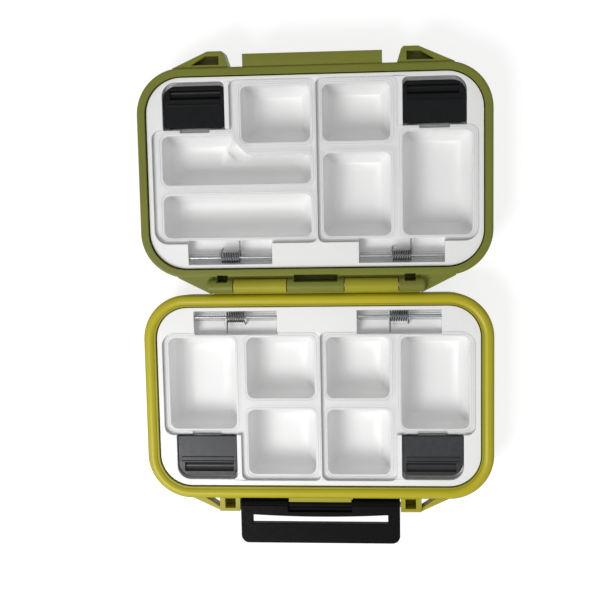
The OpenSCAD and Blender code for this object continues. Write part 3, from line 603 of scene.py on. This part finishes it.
class TACKLEBOX_OT_covers(bpy.types.Operator):
    """Finish the four clear covers"""

    bl_idname = "tackle_box.covers"
    bl_label = "Clear covers"

    def execute(self, context):
        look = context.scene.tackle_box_covers
        # A face whose normal rises less than this belongs to an edge or a bead
        flat_rise = 0.75
        # Clear styrene: nearly invisible on the flat; the grey along every edge and bead is painted
        # shade, standing in for refraction and inner reflection at the edges
        flat = clear_plastic("styrene_clear_flat", look.colour, alpha=look.alpha, rough=0.08)
        edge = clear_plastic("styrene_clear_painted_edge_shade", look.painted_edge_shade, alpha=look.painted_edge_shade_alpha, rough=0.12)
        for half, side in CORNERS:
            node = f"{half}_{side}_cover"
            piece = copy_of_node(node, f"{node}_clear")
            round_edges(piece, look.edge)
            finish_piece(piece, node, node, "clear_cover", flat, edge)
            # Steep faces take the painted edge shade, the rest the clear flat
            for face in piece.data.polygons:
                face.material_index = 1 if abs(face.normal.z) < flat_rise else 0
        return {"FINISHED"}


class TACKLEBOX_OT_pins(bpy.types.Operator):
    """Give the hinge pins their steel"""

    bl_idname = "tackle_box.pins"
    bl_label = "Hinge pins"

    def execute(self, context):
        # Drawn steel rod: bright, with a dull oiled shine
        steel = drawn_steel("steel_rod_drawn", context.scene.tackle_box_metal.pin_colour, rough=0.3)
        pins = ["main_hinge_pin", "latch_pin"]
        pins += [f"{half}_{side}_cover_pin" for half, side in CORNERS]
        for pin in pins:
            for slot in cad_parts[pin].material_slots:
                slot.material = steel
        return {"FINISHED"}


class TACKLEBOX_OT_springs(bpy.types.Operator):
    """Wind the four torsion springs of the covers"""

    bl_idname = "tackle_box.springs"
    bl_label = "Cover springs"

    def execute(self, context):
        look = context.scene.tackle_box_springs
        # Hard-drawn spring wire: dark grey and a little oily
        steel = drawn_steel("spring_wire_dark", context.scene.tackle_box_metal.wire_colour, rough=0.36)
        path, middle = cover_spring_path(look)
        for half, side in CORNERS:
            # A base spring is a lid spring turned half round
            turn = FACING[half]
            axis = middle_of(f"{half}_{side}_cover_pin")
            points = [axis + Vector((turn * p.x, turn * p.y, p.z)) for p in path]
            piece = wire_along(f"{half}_{side}_spring_wound", points, look.wire)
            piece.data.materials.append(steel)
            # One leg rests in the tray and the other under the cover, so the coil winds up between
            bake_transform(piece)
            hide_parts(f"{half}_{side}_spring")
        return {"FINISHED"}


class TACKLEBOX_OT_returns(bpy.types.Operator):
    """Wind the four return springs under the buttons"""

    bl_idname = "tackle_box.returns"
    bl_label = "Return springs"

    def execute(self, context):
        look = context.scene.tackle_box_returns
        # Fine spring wire, the same dark grey
        steel = drawn_steel("return_wire_dark", context.scene.tackle_box_metal.wire_colour, rough=0.34)
        for half, side in CORNERS:
            node = f"{half}_{side}_return"
            low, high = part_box(node)
            length = high[1] - low[1] - look.wire
            middle = middle_of(node)
            points = [middle + place for place in return_spring_path(look, length)]
            piece = wire_along(f"{node}_wound", points, look.wire)
            piece.data.materials.append(steel)
            # The outer end rests in the tray and the inner end on the button, which shortens it
            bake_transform(piece)
            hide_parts(node)
        return {"FINISHED"}


class TACKLEBOX_OT_buttons(bpy.types.Operator):
    """Finish the four sliding buttons"""

    bl_idname = "tackle_box.buttons"
    bl_label = "Buttons"

    def execute(self, context):
        look = context.scene.tackle_box_buttons
        # Black acetal: smooth, slightly waxy, greyer at the edges as thumb wear and as a painted
        # highlight; the base's copy is painted lighter than the lid's, as painted glare
        for half, colour, shine in (("lid", look.lid_colour, 0.12), ("base", look.base_colour, 0.34)):
            acetal = moulded_plastic(
                f"acetal_black_{half}", colour,
                grain=0.3 * MM, depth=0.008 * MM, rough=0.36, edge_wear_and_highlight=2.4, shine=shine,
            )
            for side in SIDES:
                node = f"{half}_{side}_button"
                mould(node, node, "button_plastic", acetal, look.edge, segments=3)
        return {"FINISHED"}


class TACKLEBOX_OT_latch(bpy.types.Operator):
    """Finish the latch"""

    bl_idname = "tackle_box.latch"
    bl_label = "Latch"

    def execute(self, context):
        look = context.scene.tackle_box_latch
        # Black nylon: tough, satin, with corners painted lighter as rubbed wear and painted highlight
        nylon = moulded_plastic(
            "nylon_black", look.colour,
            grain=0.35 * MM, depth=0.01 * MM, rough=0.46, edge_wear_and_highlight=2.0, shine=0.06,
        )
        mould("latch", "latch", "black_plastic", nylon, look.edge, segments=3)
        return {"FINISHED"}


class TACKLEBOX_OT_stage(bpy.types.Operator):
    """Set the floor, lamp, plain sky and camera"""

    bl_idname = "tackle_box.stage"
    bl_label = "Stage"

    # The lamp aims at the floor near the middle of the open box, where the floor has its middle
    stage_middle = (0, 0.04, 0)
    floor_size = 6.0
    # What the camera sees of the floor: part of its colour, which takes the shadow, and plain light
    floor_shaded = 0.4
    floor_light = 0.8
    lamp_place = (-0.26, -0.26, 0.52)
    lamp_size = 0.3
    # The camera as fitted to the photograph: its place from the middle of the hinge line's foot on
    # the floor, its turns in radians, and the width of its sensor in millimetres
    camera_place = Vector((27.92, 39.91, 391.91)) * MM
    camera_turns = (("X", -0.12154), ("Y", 0.08610), ("Z", -0.00922))
    sensor_width = 36

    def execute(self, context):
        look = context.scene.tackle_box_stage
        self.floor(context, look)
        self.sky(context, look)
        self.lamp(context, look)
        self.camera(context, look)
        context.scene.view_settings.view_transform = "Standard"
        return {"FINISHED"}

    def floor(self, context, look):
        """A wide floor of white paper."""
        select_none()
        bpy.ops.mesh.primitive_plane_add(size=self.floor_size, location=self.stage_middle)
        floor = context.object
        floor.name = "floor"
        floor.data.materials.append(self.paper(look))
        bpy.ops.object.transform_apply(location=True)

    def paper(self, look):
        """Matt white paper, lifted for the camera so that only the object's shadow shows on it."""
        material = blank_material("paper_white")
        tree = material.node_tree
        seen = self.seen(tree)
        matt = add_node(tree, "ShaderNodeBsdfDiffuse", {"Color": rgba(look.floor)})
        shaded = add_node(
            tree, "ShaderNodeBsdfDiffuse", {"Color": rgba(shade_of(look.floor, self.floor_shaded))}
        )
        lift = add_node(tree, "ShaderNodeEmission", {"Color": WHITE, "Strength": self.floor_light})
        lifted = add_node(tree, "ShaderNodeAddShader", {0: shaded.outputs[0], 1: lift.outputs[0]})
        mixed = add_node(
            tree, "ShaderNodeMixShader", {"Fac": seen, 1: matt.outputs[0], 2: lifted.outputs[0]}
        )
        add_node(tree, "ShaderNodeOutputMaterial", {"Surface": mixed.outputs[0]})
        return material

    def seen(self, tree):
        """1 for what the camera sees, also by reflection or through clear plastic."""
        rays = add_node(tree, "ShaderNodeLightPath")
        first = add_node(
            tree, "ShaderNodeMath", {0: rays.outputs["Is Camera Ray"], 1: rays.outputs["Is Glossy Ray"]},
            operation="MAXIMUM",
        )
        return add_node(
            tree, "ShaderNodeMath", {0: first.outputs[0], 1: rays.outputs["Is Transmission Ray"]},
            operation="MAXIMUM",
        ).outputs[0]

    def sky(self, context, look):
        """Plain light all round, and plain white where it is seen."""
        world = bpy.data.worlds.new("plain_sky")
        world.use_nodes = True
        tree = world.node_tree
        tree.nodes.clear()
        light = add_node(tree, "ShaderNodeBackground", {"Color": WHITE, "Strength": look.sky})
        white = add_node(tree, "ShaderNodeBackground", {"Color": WHITE, "Strength": 1.0})
        mixed = add_node(
            tree, "ShaderNodeMixShader",
            {"Fac": self.seen(tree), 1: light.outputs[0], 2: white.outputs[0]},
        )
        add_node(tree, "ShaderNodeOutputWorld", {"Surface": mixed.outputs[0]})
        context.scene.world = world

    def lamp(self, context, look):
        """One soft round lamp from the front left."""
        bpy.ops.object.light_add(type="AREA", location=self.lamp_place)
        key = context.object
        key.name = "key"
        key.data.energy = look.key
        key.data.shape = "DISK"
        key.data.size = self.lamp_size
        aim = Vector(self.stage_middle) - key.location
        key.rotation_euler = aim.to_track_quat("-Z", "Y").to_euler()

    def camera(self, context, look):
        """Looks down on the open box, almost square on, as in the photograph."""
        turn = Matrix.Identity(4)
        for axis, angle in self.camera_turns:
            turn = turn @ Matrix.Rotation(angle, 4, axis)
        hinge = middle_of("main_hinge_pin")
        place = Vector((0, hinge.y, 0)) + self.camera_place
        bpy.ops.object.camera_add(location=(0, 0, 0))
        camera = context.object
        camera.name = "camera"
        camera.matrix_world = Matrix.Translation(place) @ turn
        camera.data.sensor_width = self.sensor_width
        camera.data.sensor_fit = "HORIZONTAL"
        camera.data.lens = look.lens
        camera.data.dof.use_dof = False
        context.scene.camera = camera


# --- Panel and registration ---


class TACKLEBOX_PT_sidebar(bpy.types.Panel):
    """Settings and steps of the tackle box"""

    bl_idname = "TACKLEBOX_PT_sidebar"
    bl_label = "Tackle Box"
    bl_space_type = "VIEW_3D"
    bl_region_type = "UI"
    bl_category = "Tackle Box"

    def draw(self, context):
        for operator, name, _ in STEPS:
            box = self.layout.box()
            box.operator(operator.bl_idname)
            settings = getattr(context.scene, name)
            for key in settings.bl_rna.properties.keys():
                if key not in ("rna_type", "name"):
                    box.prop(settings, key)


# Each operator, in order, with the name and the group of its settings
STEPS = (
    (TACKLEBOX_OT_shells, "tackle_box_shells", TackleBoxShellSettings),
    (TACKLEBOX_OT_seal, "tackle_box_seal", TackleBoxSealSettings),
    (TACKLEBOX_OT_trays, "tackle_box_trays", TackleBoxTraySettings),
    (TACKLEBOX_OT_covers, "tackle_box_covers", TackleBoxCoverSettings),
    (TACKLEBOX_OT_pins, "tackle_box_metal", TackleBoxMetalSettings),
    (TACKLEBOX_OT_springs, "tackle_box_springs", TackleBoxSpringSettings),
    (TACKLEBOX_OT_returns, "tackle_box_returns", TackleBoxReturnSettings),
    (TACKLEBOX_OT_buttons, "tackle_box_buttons", TackleBoxButtonSettings),
    (TACKLEBOX_OT_latch, "tackle_box_latch", TackleBoxLatchSettings),
    (TACKLEBOX_OT_stage, "tackle_box_stage", TackleBoxStageSettings),
)


def register():
    """Adds the settings, the operators and the panel."""
    for operator, name, group in STEPS:
        bpy.utils.register_class(group)
        bpy.utils.register_class(operator)
        setattr(bpy.types.Scene, name, PointerProperty(type=group))
    bpy.utils.register_class(TACKLEBOX_PT_sidebar)


def unregister():
    """Takes away what register adds, in the opposite order."""
    bpy.utils.unregister_class(TACKLEBOX_PT_sidebar)
    for operator, name, group in reversed(STEPS):
        delattr(bpy.types.Scene, name)
        bpy.utils.unregister_class(operator)
        bpy.utils.unregister_class(group)


def main():
    """Runs every step."""
    register()
    for operator, _, _ in STEPS:
        family, name = operator.bl_idname.split(".")
        if getattr(getattr(bpy.ops, family), name)() != {"FINISHED"}:
            raise RuntimeError(f"{operator.bl_label} did not finish")


if __name__ == "__main__":
    main()
